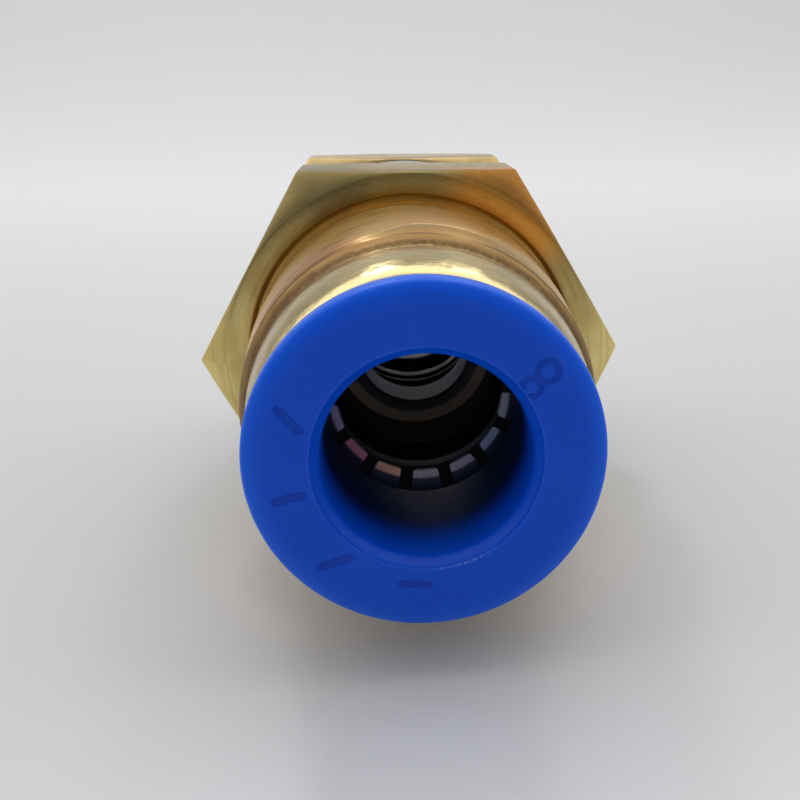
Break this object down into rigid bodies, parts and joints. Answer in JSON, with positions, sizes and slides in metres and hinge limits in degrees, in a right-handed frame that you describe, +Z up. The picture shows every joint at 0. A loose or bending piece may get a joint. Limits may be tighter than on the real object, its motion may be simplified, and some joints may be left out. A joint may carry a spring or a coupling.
{
  "type": "push to connect fitting",
  "caption": "Brass push-in bulkhead union for plastic air tube, with release rings at both ends, a hexagon flange and a lock nut.",
  "frame": {"origin": "on the bore axis, half way between the faces of the two release rings", "axes": "+Y along the bore from the plain front end to the threaded rear end, +Z up through a flat of the hexagon, +X through a corner"},
  "size_m": [0.022, 0.039, 0.019],
  "materials": {
    "brass": "turned, bright",
    "collar_brass": "turned",
    "nut_brass": "machined, bright",
    "blue_acetal": "satin moulded",
    "stainless": "stamped sheet",
    "grey_acetal": "moulded",
    "nitrile_rubber": "moulded",
    "washer_steel": "zinc plated"
  },
  "bodies": {
    "fitting": {"body": "brass", "front_guide_collar": "collar_brass", "front_grip_ring": "stainless", "front_back_ring": "grey_acetal", "front_tube_seal": "nitrile_rubber", "rear_guide_collar": "collar_brass", "rear_grip_ring": "stainless", "rear_back_ring": "grey_acetal", "rear_tube_seal": "nitrile_rubber"},
    "front_ring": {"front_release_ring": "blue_acetal"},
    "rear_ring": {"rear_release_ring": "blue_acetal"},
    "washer": {"lock_washer": "washer_steel"},
    "nut": {"lock_nut": "nut_brass"}
  },
  "joints": [
    {"name": "front_release", "type": "slide", "parent": "fitting", "child": "front_ring", "axis": [0, 1, 0], "range_m": [0, 0.0012], "stiffness_N_per_m": 1500, "springref_m": -0.0003, "deforming": ["front_grip_ring"]},
    {"name": "rear_release", "type": "slide", "parent": "fitting", "child": "rear_ring", "axis": [0, -1, 0], "range_m": [0, 0.0012], "stiffness_N_per_m": 1500, "springref_m": -0.0003, "deforming": ["rear_grip_ring"]},
    {"name": "washer_slide", "type": "slide", "parent": "fitting", "child": "washer", "axis": [0, 1, 0], "range_m": [-0.002, 0.005]},
    {"name": "nut_turn", "type": "hinge", "parent": "washer", "child": "nut", "pos_m": [0, 0.008, 0], "axis": [0, 1, 0], "range_deg": [-720, 1800]}
  ],
  "couplings": [
    {"joint": "nut_turn", "follows": "washer_slide", "rad_per_m": 6283.2}
  ]
}
